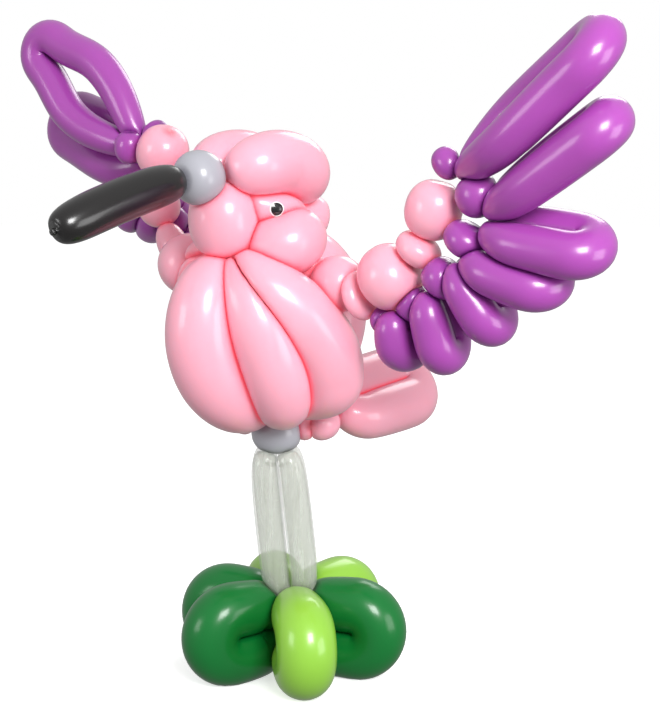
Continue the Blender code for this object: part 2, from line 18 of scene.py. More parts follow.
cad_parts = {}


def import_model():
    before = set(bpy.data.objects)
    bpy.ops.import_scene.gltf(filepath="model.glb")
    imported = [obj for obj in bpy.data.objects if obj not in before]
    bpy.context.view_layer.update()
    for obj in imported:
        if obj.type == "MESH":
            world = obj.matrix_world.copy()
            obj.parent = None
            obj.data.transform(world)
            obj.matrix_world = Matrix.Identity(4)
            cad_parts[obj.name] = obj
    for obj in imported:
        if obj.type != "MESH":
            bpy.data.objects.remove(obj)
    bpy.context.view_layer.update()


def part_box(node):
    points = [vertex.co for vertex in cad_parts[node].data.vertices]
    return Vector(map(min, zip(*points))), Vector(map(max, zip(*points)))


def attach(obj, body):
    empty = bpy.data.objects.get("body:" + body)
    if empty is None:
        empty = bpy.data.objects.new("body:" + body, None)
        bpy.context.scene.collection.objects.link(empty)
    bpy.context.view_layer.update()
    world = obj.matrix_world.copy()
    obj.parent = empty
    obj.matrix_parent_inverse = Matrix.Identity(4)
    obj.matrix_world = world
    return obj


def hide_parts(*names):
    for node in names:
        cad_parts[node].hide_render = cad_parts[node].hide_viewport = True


LOG = logging.getLogger("balloon_bird")
MM = 0.001
UP = np.array([0.0, 0.0, 1.0])

TWIST_R = 2.4
CONTACT_GAP = 0.5
TWIST_GAP = 0.35
EDGE_ROUND = 3.2
BALL_STEP = 2.2
SHOULDER_STEP = 0.8
SHOULDER_BALLS = 20
PRESS_STEPS = 9
RING_STEP = 2.8
LOOP_EASE = 14
TWIST_FADE = 3.4
# Painted shade and glow in the creases: how far in it comes on, and how fast it fades further in.
CREASE_SHADE_START = 1.5
CREASE_SHADE_FADE = 7.0
END_RINGS = (0.3, 0.65)

COAT_ROUGHNESS = 0.12
COAT_IOR = 1.45
LATEX_IOR = 1.5
GLOW_DEPTH = 0.006
PLEATS = 16
RAY_START = 0.01
RAY_REACH = 0.04

Point = tuple[float, float, float]

EYE_BUBBLE = ((8, -4, 60), (42, 62, 40))
EYE_BUBBLE_D = 42.0


class Side(Enum):
    """Which half of the bird a piece belongs to."""

    LEFT = 1
    RIGHT = -1

    @property
    def word(self) -> str:
        """The side as it stands in the pieces' names."""
        return self.name.lower()

    def place(self, point: Point) -> np.ndarray:
        """A point of the left half, or its mirror image on the right half."""
        return np.array([point[0] * self.value, point[1], point[2]], float)


class Growth(Enum):
    """Which arm of a folded loop the balloon is twisted along first."""

    RISING = -1
    FALLING = 1


# Finishes


def added(tree: bpy.types.NodeTree, kind: str, **sockets: float | tuple) -> bpy.types.Node:
    """A new node with its sockets set. An underscore in a socket's name stands for a space."""
    node = tree.nodes.new(kind)
    for name, value in sockets.items():
        node.inputs[name.replace("_", " ")].default_value = value
    return node


@dataclass(frozen=True)
class Latex:
    """Stretched latex: even colour, denser by the twists, with a soft gloss, and with painted shade and a
    painted glow in the creases where it is pressed.

    glow is how much light spreads inside the skin, and crease_glow is how strong the painted glow in the
    creases is.
    tone_and_sheen is how uneven the colour is, and a sheen_streak under 1 stretches that unevenness upwards
    into painted highlight streaks.
    """

    name: str
    slot: str
    color: Point
    dense_and_crease_shade: Point
    roughness: float = 0.30
    coat: float = 0.45
    shine: float = 0.5
    crease_glow: float = 0.0
    tone_and_sheen: float = 0.16
    grain: float = 26.0
    sheen_streak: float = 1.0
    glow: float = 0.0
    glow_radius: Point = (1.0, 0.4, 0.35)
    alpha: float = 1.0

    def material(self) -> bpy.types.Material:
        """The material of this finish, made once."""
        found = bpy.data.materials.get(self.name)
        if found:
            return found
        made = bpy.data.materials.new(self.name)
        made.use_nodes = True
        tree = made.node_tree
        nodes, links = tree.nodes, tree.links
        shader = nodes["Principled BSDF"]
        shader.inputs["Roughness"].default_value = self.roughness
        shader.inputs["Coat Weight"].default_value = self.coat
        shader.inputs["Coat Roughness"].default_value = COAT_ROUGHNESS
        shader.inputs["Coat IOR"].default_value = COAT_IOR
        shader.inputs["IOR"].default_value = LATEX_IOR
        shader.inputs["Specular IOR Level"].default_value = self.shine
        if self.glow > 0:
            shader.inputs["Subsurface Weight"].default_value = self.glow
            shader.inputs["Subsurface Radius"].default_value = self.glow_radius
            shader.inputs["Subsurface Scale"].default_value = GLOW_DEPTH
        shader.inputs["Alpha"].default_value = self.alpha
        gather = nodes.new("ShaderNodeAttribute")
        gather.attribute_name = "twist"
        places = nodes.new("ShaderNodeTexCoord")
        # Uneven tone of the latex; on the clear tubes it is stretched upwards into painted highlight streaks.
        tone_and_sheen_noise = added(tree, "ShaderNodeTexNoise", Scale=self.grain, Detail=3.0)
        sheen_streak_mapping = added(tree, "ShaderNodeMapping", Scale=(1.0, 1.0, self.sheen_streak))
        links.new(places.outputs["Object"], sheen_streak_mapping.inputs["Vector"])
        links.new(sheen_streak_mapping.outputs["Vector"], tone_and_sheen_noise.inputs["Vector"])
        share = nodes.new("ShaderNodeMath")
        share.operation = "MULTIPLY_ADD"
        share.inputs[1].default_value = self.tone_and_sheen
        links.new(tone_and_sheen_noise.outputs["Fac"], share.inputs[0])
        links.new(gather.outputs["Fac"], share.inputs[2])
        hue = nodes.new("ShaderNodeMix")
        hue.data_type = "RGBA"
        hue.inputs["A"].default_value = (*self.color, 1.0)
        hue.inputs["B"].default_value = (*self.dense_and_crease_shade, 1.0)
        links.new(share.outputs["Value"], hue.inputs["Factor"])
        # Painted shade in the creases: the colour goes over to the deeper colour where the skin is pressed.
        crease_shade_glow = nodes.new("ShaderNodeAttribute")
        crease_shade_glow.attribute_name = "crease_shade_glow"
        painted_crease_shade = nodes.new("ShaderNodeMix")
        painted_crease_shade.data_type = "RGBA"
        painted_crease_shade.inputs["B"].default_value = (*self.dense_and_crease_shade, 1.0)
        links.new(crease_shade_glow.outputs["Fac"], painted_crease_shade.inputs["Factor"])
        links.new(hue.outputs["Result"], painted_crease_shade.inputs["A"])
        links.new(painted_crease_shade.outputs["Result"], shader.inputs["Base Color"])
        # Painted glow in the creases: emission in the deeper colour, standing for light shining through the
        # latex.
        if self.crease_glow > 0:
            painted_crease_glow = nodes.new("ShaderNodeMath")
            painted_crease_glow.operation = "MULTIPLY"
            painted_crease_glow.inputs[1].default_value = self.crease_glow
            links.new(crease_shade_glow.outputs["Fac"], painted_crease_glow.inputs[0])
            links.new(painted_crease_glow.outputs["Value"], shader.inputs["Emission Strength"])
            shader.inputs["Emission Color"].default_value = (*self.dense_and_crease_shade, 1.0)
        links.new(self.relief(tree, places, gather), shader.inputs["Normal"])
        return made

    def relief(
        self,
        tree: bpy.types.NodeTree,
        places: bpy.types.Node,
        gather: bpy.types.Node,
    ) -> bpy.types.NodeSocket:
        """Fine gathers round each twist and the faint unevenness of stretched latex.

        Args:
            tree: the material's nodes.
            places: the coordinates node of the material.
            gather: the node that gives how near each place is to a twist.

        Returns:
            The normal output to plug into the shader.
        """
        nodes, links = tree.nodes, tree.links
        apart = nodes.new("ShaderNodeSeparateXYZ")
        links.new(places.outputs["UV"], apart.inputs["Vector"])
        turns = nodes.new("ShaderNodeMath")
        turns.operation = "MULTIPLY"
        turns.inputs[1].default_value = 2 * math.pi * PLEATS
        links.new(apart.outputs["X"], turns.inputs[0])
        wave = nodes.new("ShaderNodeMath")
        wave.operation = "SINE"
        links.new(turns.outputs["Value"], wave.inputs[0])
        folds = nodes.new("ShaderNodeMath")
        folds.operation = "MULTIPLY"
        links.new(wave.outputs["Value"], folds.inputs[0])
        links.new(gather.outputs["Fac"], folds.inputs[1])
        pleats = added(tree, "ShaderNodeBump", Strength=0.35, Distance=0.0008)
        links.new(folds.outputs["Value"], pleats.inputs["Height"])
        swell = added(tree, "ShaderNodeTexNoise", Scale=34.0, Detail=1.0)
        links.new(places.outputs["Object"], swell.inputs["Vector"])
        soft = added(tree, "ShaderNodeBump", Strength=0.12, Distance=0.002)
        links.new(swell.outputs["Fac"], soft.inputs["Height"])
        links.new(pleats.outputs["Normal"], soft.inputs["Normal"])
        return soft.outputs["Normal"]


# Each finish's second colour is both its own deeper tone by the twists and the colour of its painted crease
# shade and glow.
PINK = Latex("baby_pink_latex", "pink_latex", (0.92, 0.42, 0.53), (0.84, 0.15, 0.21), crease_glow=0.34, glow=0.2)
PURPLE = Latex("violet_latex", "purple_latex", (0.36, 0.06, 0.37), (0.12, 0.010, 0.15), crease_glow=0.10, glow=0.05)
BLACK = Latex(
    "black_latex_skin",
    "black_latex",
    (0.007, 0.006, 0.006),
    (0.003, 0.003, 0.003),
    roughness=0.27,
    coat=0.35,
)
GREY = Latex("silver_grey_latex", "grey_latex", (0.39, 0.39, 0.43), (0.20, 0.20, 0.25), 0.32, 0.4, crease_glow=0.1)
FOREST = Latex(
    "forest_green_latex",
    "dark_green_latex",
    (0.002, 0.155, 0.026),
    (0.001, 0.05, 0.01),
    roughness=0.28,
    coat=0.25,
    shine=0.35,
    crease_glow=0.1,
)
LIME = Latex("lime_green_latex", "light_green_latex", (0.27, 0.56, 0.05), (0.12, 0.33, 0.02), crease_glow=0.15)
# The clear tubes' strong upward streaks of lighter and darker colour are painted highlight streaks.
CLEAR = Latex(
    "clear_latex_skin",
    "clear_latex",
    (0.80, 0.83, 0.77),
    (0.36, 0.39, 0.31),
    roughness=0.14,
    coat=0.9,
    tone_and_sheen=1.0,
    grain=230.0,
    sheen_streak=0.04,
    alpha=0.38,
)


# Curves


def unit(v: np.ndarray) -> np.ndarray:
    """The same direction with length one."""
    return v / np.linalg.norm(v)


def evenly(points: np.ndarray, count: int) -> np.ndarray:
    """The same curve with count points at equal distances along it."""
    run = run_of(points)
    at = np.linspace(0, run[-1], count)
    return np.column_stack([np.interp(at, run, points[:, k]) for k in range(3)])


def run_of(points: np.ndarray) -> np.ndarray:
    """The distance along a curve at each of its points."""
    return np.concatenate([[0], np.cumsum(np.linalg.norm(np.diff(points, axis=0), axis=1))])


def smooth_line(points: list, count: int = 90) -> np.ndarray:
    """A smooth curve through the points, with its own points evenly spaced along it."""
    points = np.array(points, float)
    if len(points) == 2:
        return np.linspace(points[0], points[1], count)
    ends = np.vstack([2 * points[0] - points[1], points, 2 * points[-1] - points[-2]])
    fine = []
    for i in range(len(points) - 1):
        p0, p1, p2, p3 = ends[i : i + 4]
        for t in np.linspace(0, 1, 32, endpoint=False):
            bend = (2 * p0 - 5 * p1 + 4 * p2 - p3) * t**2 + (3 * p1 - p0 - 3 * p2 + p3) * t**3
            fine.append(0.5 * (2 * p1 + (p2 - p0) * t + bend))
    fine.append(points[-1])
    return evenly(np.array(fine), count)


def softly(points: np.ndarray, passes: int) -> np.ndarray:
    """The same curve with its small kinks evened out and its two ends kept."""
    made = points.copy()
    for _ in range(passes):
        made[1:-1] = 0.25 * made[:-2] + 0.5 * made[1:-1] + 0.25 * made[2:]
    return made


# Bubbles and balloons


@dataclass
class Bubble:
    """One bubble: its centre line between two twists, its half thickness and how blunt its ends are."""

    line: np.ndarray
    radius: float
    blunt: float = 0.94
    power: float = 2.4
    fold: tuple | None = None
    gap: float = CONTACT_GAP
    centre: np.ndarray = None
    tangent: np.ndarray = None
    wide: np.ndarray = None
    balls: np.ndarray = None
    ball_r: np.ndarray = None

    def profile(self, share: np.ndarray) -> np.ndarray:
        """Half thickness along the bubble, where share runs from 0 at one twist to 1 at the other."""
        t = np.abs(2 * share - 1) * self.blunt
        return self.radius * (1 - t**self.power) ** (1 / self.power)

    def measure(self) -> None:
        """Work out the rings of the skin and the balls inside that press on the neighbours."""
        run = run_of(self.line)
        length = run[-1]
        even = np.linspace(0, 1, max(9, int(length / RING_STEP) + 5))
        share = 0.4 * even + 0.6 * (0.5 - 0.5 * np.cos(math.pi * even))
        if self.fold is not None:
            share = 0.8 * even + 0.2 * (0.5 - 0.5 * np.cos(math.pi * even))
            ends = share[1] * np.array(END_RINGS)
            share = np.unique(np.concatenate([share, ends, 1 - ends]))
        inset = 0.5 / length
        share = inset + (1 - 2 * inset) * share
        self.centre, self.tangent = self.along(run, share * length)
        self.wide = np.maximum(self.profile(share), TWIST_R)
        pick = np.linspace(0, 1, max(10, int(length / BALL_STEP)))
        balls, ways = self.along(run, pick * length)
        nominal = self.profile(pick)
        edge = np.minimum(pick, 1 - pick) * length
        room = np.minimum(nominal, np.sqrt(edge**2 + TWIST_R**2))
        centres, radii = [balls], [room]
        turns = np.linspace(0, 2 * math.pi, SHOULDER_BALLS, endpoint=False)
        for c, way, full, r in zip(balls, ways, nominal, room):
            if full - r > SHOULDER_STEP and r > SHOULDER_STEP:
                up = first_up(way)
                ring = np.cos(turns)[:, None] * up + np.sin(turns)[:, None] * np.cross(way, up)
                centres.append(c + ring * (full - r))
                radii.append(np.full(len(turns), r))
        self.balls, self.ball_r = np.vstack(centres), np.concatenate(radii)

    def along(self, run: np.ndarray, at: np.ndarray) -> tuple[np.ndarray, np.ndarray]:
        """Points and unit directions of the centre line at the given distances along it."""
        step = run[-1] / 80

        def spot(d: np.ndarray) -> np.ndarray:
            """The points at these distances."""
            d = np.clip(d, 0, run[-1])
            return np.column_stack([np.interp(d, run, self.line[:, k]) for k in range(3)])

        way = spot(at + step) - spot(at - step)
        return spot(at), way / np.linalg.norm(way, axis=1)[:, None]


def first_up(way: np.ndarray) -> np.ndarray:
    """A direction square to the centre line."""
    return unit(np.cross(way, UP if abs(way[2]) < 0.9 else np.array([1.0, 0, 0])))


def round_bubble(twists: list, thickness: float, blunt: float = 0.90, power: float = 2.2) -> Bubble:
    """A bubble between two twists, through any points between them."""
    return Bubble(smooth_line(twists), thickness / 2, blunt, power)


def loop_bubble(
    root: np.ndarray,
    along: np.ndarray,
    across: np.ndarray,
    length: float,
    thickness: float,
    spread: float,
    tip: float | None = None,
    root_gap: float = 6.0,
    taper: float = 0.45,
) -> Bubble:
    """A folded loop: out along one arm, round the end and back along the other, to the same twist.

    Args:
        root: the twist that the loop grows from.
        along: the direction in which it points.
        across: the direction from one arm to the other.
        length: from the root to the far end of the centre line.
        thickness: of the tube.
        spread: half the distance between the arms at their widest.
        tip: the same at the fold, where the arms may come together again.
        root_gap: distance of the arms' ends at the root.
        taper: the share of the length in which the arms come apart.

    Returns:
        The bubble, whose arms press on each other.
    """
    along = unit(along)
    across = unit(across - along * np.dot(across, along))
    tip = spread if tip is None else tip
    run = length - tip
    flat = []
    for u in np.linspace(0, 1, 40):
        half = root_gap / 2 + (spread - root_gap / 2) * math.sin(min(u / taper, 1.0) * math.pi / 2) ** 1.2
        if u > taper:
            half = tip + (half - tip) * math.cos((u - taper) / (1 - taper) * math.pi / 2) ** 2
        flat.append((u * run, half))
    for a in np.linspace(90, 0, 16)[1:]:
        flat.append((run + tip * math.cos(math.radians(a)), tip * math.sin(math.radians(a))))
    flat = flat + [(x, -y) for x, y in reversed(flat[:-1])]
    points = np.array([root + along * x + across * y for x, y in flat])
    return Bubble(softly(evenly(points, 160), LOOP_EASE), thickness / 2, 0.995, 3.4, (root, across))


@dataclass
class Balloon:
    """One real balloon, which becomes one piece and stands for one solid."""

    name: str
    finish: Latex
    bubbles: list[Bubble]
    sides: int = 44

    def skin(self, crowd: "Crowd") -> bpy.types.Object:
        """Draw a sphere out along the whole centre line, ring by ring, and press it.

        Args:
            crowd: all the balloons of the figure.

        Returns:
            The finished piece, with its place in its mesh.
        """
        rings, near, pressed = self.rings(crowd)
        points = np.vstack([self.bubbles[0].line[:1], *rings, self.bubbles[-1].line[-1:]])
        bpy.ops.object.select_all(action="DESELECT")
        bpy.ops.mesh.primitive_uv_sphere_add(segments=self.sides, ring_count=len(rings) + 1, radius=1.0)
        piece = bpy.context.object
        piece.name = self.name + "_skin"
        mesh = piece.data
        mesh.name = piece.name
        place = np.empty(len(mesh.vertices) * 3)
        mesh.vertices.foreach_get("co", place)
        place = place.reshape(-1, 3)
        step = math.pi / (len(rings) + 1)
        row = np.rint(np.arctan2(np.hypot(place[:, 0], place[:, 1]), place[:, 2]) / step).astype(int)
        turn = np.rint(np.arctan2(place[:, 1], place[:, 0]) / (2 * math.pi) * self.sides)
        on_ring = 1 + (row - 1) * self.sides + turn.astype(int) % self.sides
        index = np.where(row == 0, 0, np.where(row > len(rings), len(points) - 1, on_ring))
        mesh.vertices.foreach_set("co", (points[index] * MM).ravel())
        weight = np.concatenate([[1.0], *near, [1.0]])[index]
        twist = mesh.attributes.new("twist", "FLOAT", "POINT")
        twist.data.foreach_set("value", weight)
        # The pressed shares are the mask of painted shade and glow in the creases between bubbles.
        depth = np.concatenate([[0.0], *pressed, [0.0]])[index]
        crease_shade_glow = mesh.attributes.new("crease_shade_glow", "FLOAT", "POINT")
        crease_shade_glow.data.foreach_set("value", depth)
        mesh.update()
        bpy.ops.object.mode_set(mode="EDIT")
        bpy.ops.mesh.select_all(action="SELECT")
        bpy.ops.mesh.normals_make_consistent(inside=False)
        bpy.ops.object.mode_set(mode="OBJECT")
        bpy.ops.object.shade_smooth()
        return piece

    def rings(self, crowd: "Crowd") -> tuple[list[np.ndarray], list[np.ndarray], list[np.ndarray]]:
        """Every ring of the skin, how near its points are to a twist, and a mask for the painted shade and
        glow in the creases where the points are pressed.

        Args:
            crowd: all the balloons of the figure.

        Returns:
            The rings' points, and two shares from 0 to 1 for each point.
        """
        rings, near, pressed = [], [], []
        up = None
        last = None
        angles = np.linspace(0, 2 * math.pi, self.sides, endpoint=False)
        for bubble in self.bubbles:
            if last is not None:
                way = unit(last.tangent[-1] + bubble.tangent[0] + 0.001 * UP)
                up = unit(up - way * np.dot(up, way))
                middle = (last.centre[-1] + bubble.centre[0]) / 2
                rings.append(middle + (rays_round(up, way, angles) * TWIST_R * 0.8))
                near.append(np.ones(self.sides))
                pressed.append(np.zeros(self.sides))
            own = pool([bubble])
            beside = pool([b for b in self.bubbles if b is not bubble])
            others = pool(crowd.around(bubble, self))
            tied = np.array([bubble.line[0], bubble.line[-1]])
            for c, t, r in zip(bubble.centre, bubble.tangent, bubble.wide):
                up = unit(up - t * np.dot(up, t)) if up is not None else first_up(t)
                rays = rays_round(up, t, angles)
                reach = np.full(self.sides, r)
                reach = press(own, others, bubble.gap, c, rays, reach)
                reach = press(own, beside, TWIST_GAP, c, rays, reach)
                reach = hold_arms_apart(bubble, c, rays, reach)
                reach = stand(c, rays, reach)
                ring = c + rays * reach[:, None]
                rings.append(ring)
                away = np.linalg.norm(ring[:, None, :] - tied[None, :, :], axis=2).min(axis=1)
                near.append(np.exp(-np.maximum(away - TWIST_R, 0) / TWIST_FADE))
                # Painted shade and glow in the creases: strongest just inside the pressed rim, fading further
                # in.
                pushed = r - reach
                pressed.append(np.clip(pushed / CREASE_SHADE_START, 0, 1) * np.exp(-pushed / CREASE_SHADE_FADE))
            last = bubble
        return rings, near, pressed


def rays_round(up: np.ndarray, way: np.ndarray, angles: np.ndarray) -> np.ndarray:
    """Unit directions round the centre line, starting at up."""
    return np.cos(angles)[:, None] * up + np.sin(angles)[:, None] * np.cross(way, up)


def soft_min(a: np.ndarray, b: np.ndarray, width: float) -> np.ndarray:
    """The smaller of two lengths, with a round change from one to the other."""
    h = np.maximum(width - np.abs(a - b), 0) / width
    return np.minimum(a, b) - h * h * width / 4


def depth_in(points: np.ndarray, balls: np.ndarray, radii: np.ndarray) -> np.ndarray:
    """How far each point is outside the nearest of the balls; less than 0 is inside it."""
    apart = points[:, None, :] - balls[None, :, :]
    return (np.sqrt(np.einsum("ijk,ijk->ij", apart, apart)) - radii[None, :]).min(axis=1)


def press(
    own: tuple,
    others: tuple,
    gap: float,
    centre: np.ndarray,
    rays: np.ndarray,
    reach: np.ndarray,
) -> np.ndarray:
    """Shorten the rays of one ring where the bubble presses on its neighbours.

    Args:
        own: the balls that fill the bubble of this ring.
        others: the balls that fill the bubbles that may press on it.
        gap: how far apart the two skins stay.
        centre: the middle of the ring.
        rays: unit directions from it.
        reach: the length of each ray before it is pressed.

    Returns:
        The length of each ray after it is pressed.
    """
    wide = reach.max()
    balls, radii = near_balls(others, centre, wide + EDGE_ROUND)
    if not len(radii):
        return reach
    mine, mine_r = near_balls(own, centre, wide + 1.0)

    def clear(length: np.ndarray) -> np.ndarray:
        """How much nearer the end of each ray is to its own bubble than to the others."""
        at = centre + rays * length[:, None]
        return depth_in(at, balls, radii) - depth_in(at, mine, mine_r) - gap

    first = clear(reach)
    short = np.minimum(reach, TWIST_R)
    far = reach.copy()
    hit = first < 0
    if hit.any():
        for _ in range(PRESS_STEPS):
            test = (short + far) / 2
            good = clear(test) >= 0
            short = np.where(good, test, short)
            far = np.where(good, far, test)
    pressed = np.where(hit, short, reach + first / 2)
    width = np.minimum(EDGE_ROUND, np.maximum(reach - TWIST_R, 0.01) * 0.5)
    return np.maximum(soft_min(reach, pressed, width), np.minimum(reach, TWIST_R))


def pool(bubbles: list[Bubble]) -> tuple[np.ndarray, np.ndarray]:
    """All the balls of these bubbles together."""
    if not bubbles:
        return np.zeros((0, 3)), np.zeros(0)
    return np.vstack([b.balls for b in bubbles]), np.concatenate([b.ball_r for b in bubbles])


def near_balls(balls: tuple, centre: np.ndarray, wide: float) -> tuple[np.ndarray, np.ndarray]:
    """The balls that come within wide of the centre."""
    places, radii = balls
    close = np.linalg.norm(places - centre, axis=1) - radii < wide
    return places[close], radii[close]


def hold_arms_apart(bubble: Bubble, centre: np.ndarray, rays: np.ndarray, reach: np.ndarray) -> np.ndarray:
    """Keep each arm of a folded loop on its own side of the fold, where the two arms press."""
    if bubble.fold is None:
        return reach
    root, across = bubble.fold
    side = float((centre - root) @ across)
    toward = -(rays @ across) * (1.0 if side >= 0 else -1.0)
    room = max(abs(side) - CONTACT_GAP / 2, 0)
    limit = np.where(toward > 1e-6, room / np.maximum(toward, 1e-6), 1e6)
    limit = np.maximum(limit, np.minimum(reach, TWIST_R))
    width = np.minimum(EDGE_ROUND, np.maximum(reach - TWIST_R, 0.01) * 0.5)
    return np.maximum(soft_min(reach, limit, width), np.minimum(reach, TWIST_R))


def stand(centre: np.ndarray, rays: np.ndarray, reach: np.ndarray) -> np.ndarray:
    """Shorten each ray that would pass through the floor, so that a petal stands on a flat foot."""
    drop = -rays[:, 2]
    floor = np.where(drop > 1e-6, (centre[2] - 0.02) / np.maximum(drop, 1e-6), 1e6)
    return np.minimum(reach, np.maximum(floor, 0))


@dataclass
class Crowd:
    """All the balloons of the figure, which press on each other."""

    balloons: list[Balloon] = field(default_factory=list)

    def measure(self) -> None:
        """Work out every bubble before any skin is pressed."""
        for balloon in self.balloons:
            for bubble in balloon.bubbles:
                bubble.measure()

    def around(self, bubble: Bubble, own: Balloon) -> list[Bubble]:
        """The bubbles of other balloons that come near this one."""
        low, high = bubble.balls.min(axis=0), bubble.balls.max(axis=0)
        room = 2 * bubble.radius + 50
        close = []
        for balloon in self.balloons:
            if balloon is own:
                continue
            for other in balloon.bubbles:
                lowest, highest = other.balls.min(axis=0), other.balls.max(axis=0)
                if np.all(lowest < high + room) and np.all(highest > low - room):
                    close.append(other)
        return close


# Sub-assemblies


@dataclass
class Figure:
    """Where the bird's hip, neck and base are, with the shift that brings the whole to its origin."""

    petal_height: float = 114.0
    foot_press: float = 5.0
    hip_height: float = 296.0
    hip_forward: float = 20.0
    body_length: float = 174.0
    body_lean: float = 20.0
    shift: np.ndarray = field(default_factory=lambda: np.zeros(3))

    @property
    def hub(self) -> np.ndarray:
        """The middle of the ring of petals."""
        return np.array([0, 0, self.petal_height / 2 - self.foot_press]) + self.shift

    @property
    def hip(self) -> np.ndarray:
        """The twist under the body."""
        return np.array([0, -self.hip_forward, self.hip_height]) + self.shift

    @property
    def up(self) -> np.ndarray:
        """The direction of the body's axis."""
        lean = math.radians(self.body_lean)
        return np.array([0, -math.sin(lean), math.cos(lean)])

    @property
    def neck(self) -> np.ndarray:
        """The twist at the top of the body."""
        return self.hip + self.up * self.body_length


@dataclass
class Assembly:
    """A group of balloons that are twisted together."""

    figure: Figure
    balloons: list[Balloon] = field(default_factory=list)

    def dress(self, crowd: Crowd) -> list[bpy.types.Object]:
        """Build each balloon's skin, give it its finish and let it ride on the frame.

        Args:
            crowd: all the balloons of the figure.

        Returns:
            The pieces.
        """
        made = []
        for balloon in self.balloons:
            piece = balloon.skin(crowd)
            register(piece, balloon.finish, balloon.name)
            made.append(piece)
        return made


def register(piece: bpy.types.Object, finish: "Latex | EyeGloss", node: str) -> None:
    """Give a piece its material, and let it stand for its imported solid."""
    piece.data.materials.clear()
    piece.data.materials.append(finish.material())
    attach(piece, "root")
    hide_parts(node)
    LOG.info("%s: %d faces", piece.name, len(piece.data.polygons))


@dataclass
class PetalBase(Assembly):
    """Six folded loops round one hub: three light green and three dark green."""

    petal_d: float = 63.0
    reach: float = 131.0
    hub_radius: float = 18.0
    hub_step: float = 18.0
    light: tuple = ((-34.0, Growth.RISING), (90.0, Growth.FALLING), (150.0, Growth.RISING))
    dark: tuple = ((27.0, Growth.FALLING), (204.0, Growth.RISING), (257.0, Growth.FALLING))

    def __post_init__(self) -> None:
        """Lay out both balloons."""
        light = [self.petal(*spec) for spec in self.light]
        dark = [self.petal(*spec) for spec in self.dark]
        self.balloons = [
            Balloon("base_petals_light", LIME, light, 52),
            Balloon("base_petals_dark", FOREST, dark, 52),
        ]

    def petal(self, angle: float, growth: Growth) -> Bubble:
        """One loop standing on edge, pointing out at this angle from +X."""
        turn = math.radians(angle)
        out = np.array([math.cos(turn), math.sin(turn), 0])
        spread = (self.figure.petal_height - self.petal_d) / 2
        length = self.reach - self.petal_d / 2 - self.hub_radius
        root = self.figure.hub + out * self.hub_radius
        return loop_bubble(root, out, UP * growth.value, length, self.petal_d, spread, root_gap=self.hub_step)


@dataclass
class ClearPost(Assembly):
    """Four clear tubes in a bundle, and the grey ball on top of them."""

    tube_d: float = 30.0
    foot: float = 25.0
    lean: float = 2.0
    ball_d: float = 54.0
    ball_height: float = 49.0
    twist_length: float = 5.0
    inset: float = 0.7

    def __post_init__(self) -> None:
        """Lay out the tubes and the ball."""
        hub, hip = self.figure.hub, self.figure.hip
        foot = hub + UP * self.foot + unit(np.array([1.0, 1, 0])) * self.lean
        top = hip - UP * (self.ball_height + self.inset)
        out = self.tube_d / 2 * math.sqrt(2)
        for number in range(4):
            turn = math.radians(90 * number)
            side = np.array([math.cos(turn), math.sin(turn), 0]) * out
            points = [
                foot + side * 0.45,
                foot + (top - foot) * 0.12 + side,
                foot + (top - foot) * 0.88 + side * 0.95,
                top + side * 0.45,
            ]
            tube = Bubble(smooth_line(points), self.tube_d / 2, 0.97, 5.0)
            self.balloons.append(Balloon(f"post_tube_{number + 1}", CLEAR, [tube], 36))
        ball = round_bubble([hip - UP * self.ball_height, hip - UP * self.twist_length], self.ball_d, 0.93)
        self.balloons.append(Balloon("hip_ball", GREY, [ball], 48))


@dataclass
class Breast(Assembly):
    """The body: six long bubbles side by side, zigzagging between the hip and the neck."""

    breast_d: float = 73.0
    front_d: float = 68.0
    side_d: float = 73.0
    back_d: float = 78.0
    ring: float = 9.0
    lift: float = 9.0

    def __post_init__(self) -> None:
        """Lay out the six bubbles from the breast round by the bird's left."""
        rows = (
            (0.0, 0.0, 70.0, self.breast_d, 0.5),
            (62.0, 56.0, 58.0, self.front_d, 0.38),
            (110.0, 70.0, 77.0, self.side_d, 0.32),
            (180.0, 180.0, 112.0, self.back_d, 0.42),
            (-110.0, -70.0, 77.0, self.side_d, 0.32),
            (-62.0, -56.0, 58.0, self.front_d, 0.38),
        )
        bubbles = [self.bubble(*row, upward=n % 2 == 0) for n, row in enumerate(rows)]
        self.balloons = [Balloon("body", PINK, bubbles, 56)]

    def bubble(
        self,
        low: float,
        high: float,
        bulge: float,
        thickness: float,
        full: float,
        upward: bool,
    ) -> Bubble:
        """One long bubble, bowed out between the hip twist and the neck twist.

        Args:
            low: degrees from the breast round to the bird's left, at the hip.
            high: the same at the neck.
            bulge: how far the fullest part stands off the body's axis.
            thickness: of the bubble.
            full: the share of the height at which it is fullest.
            upward: whether the balloon is twisted from the hip up here.

        Returns:
            The bubble.
        """
        up = self.figure.up
        front = np.array([0, -up[2], up[1]])
        lean = math.log(0.5) / math.log(full)
        points = []
        for share in (0.0, 0.09, 0.22, 0.4, 0.6, 0.78, 0.91, 1.0):
            turn = math.radians(low + (high - low) * share**2.5)
            out = math.cos(turn) * front + math.sin(turn) * np.cross(up, front)
            bow = (1 - abs(2 * share**lean - 1) ** 2.2) ** 0.7
            height = self.lift + share * (self.figure.body_length - self.lift)
            points.append(self.figure.hip + up * height + out * (self.ring + (bulge - self.ring) * bow))
        if not upward:
            points.reverse()
        return Bubble(smooth_line(points, 120), thickness / 2, 0.98, 2.6)


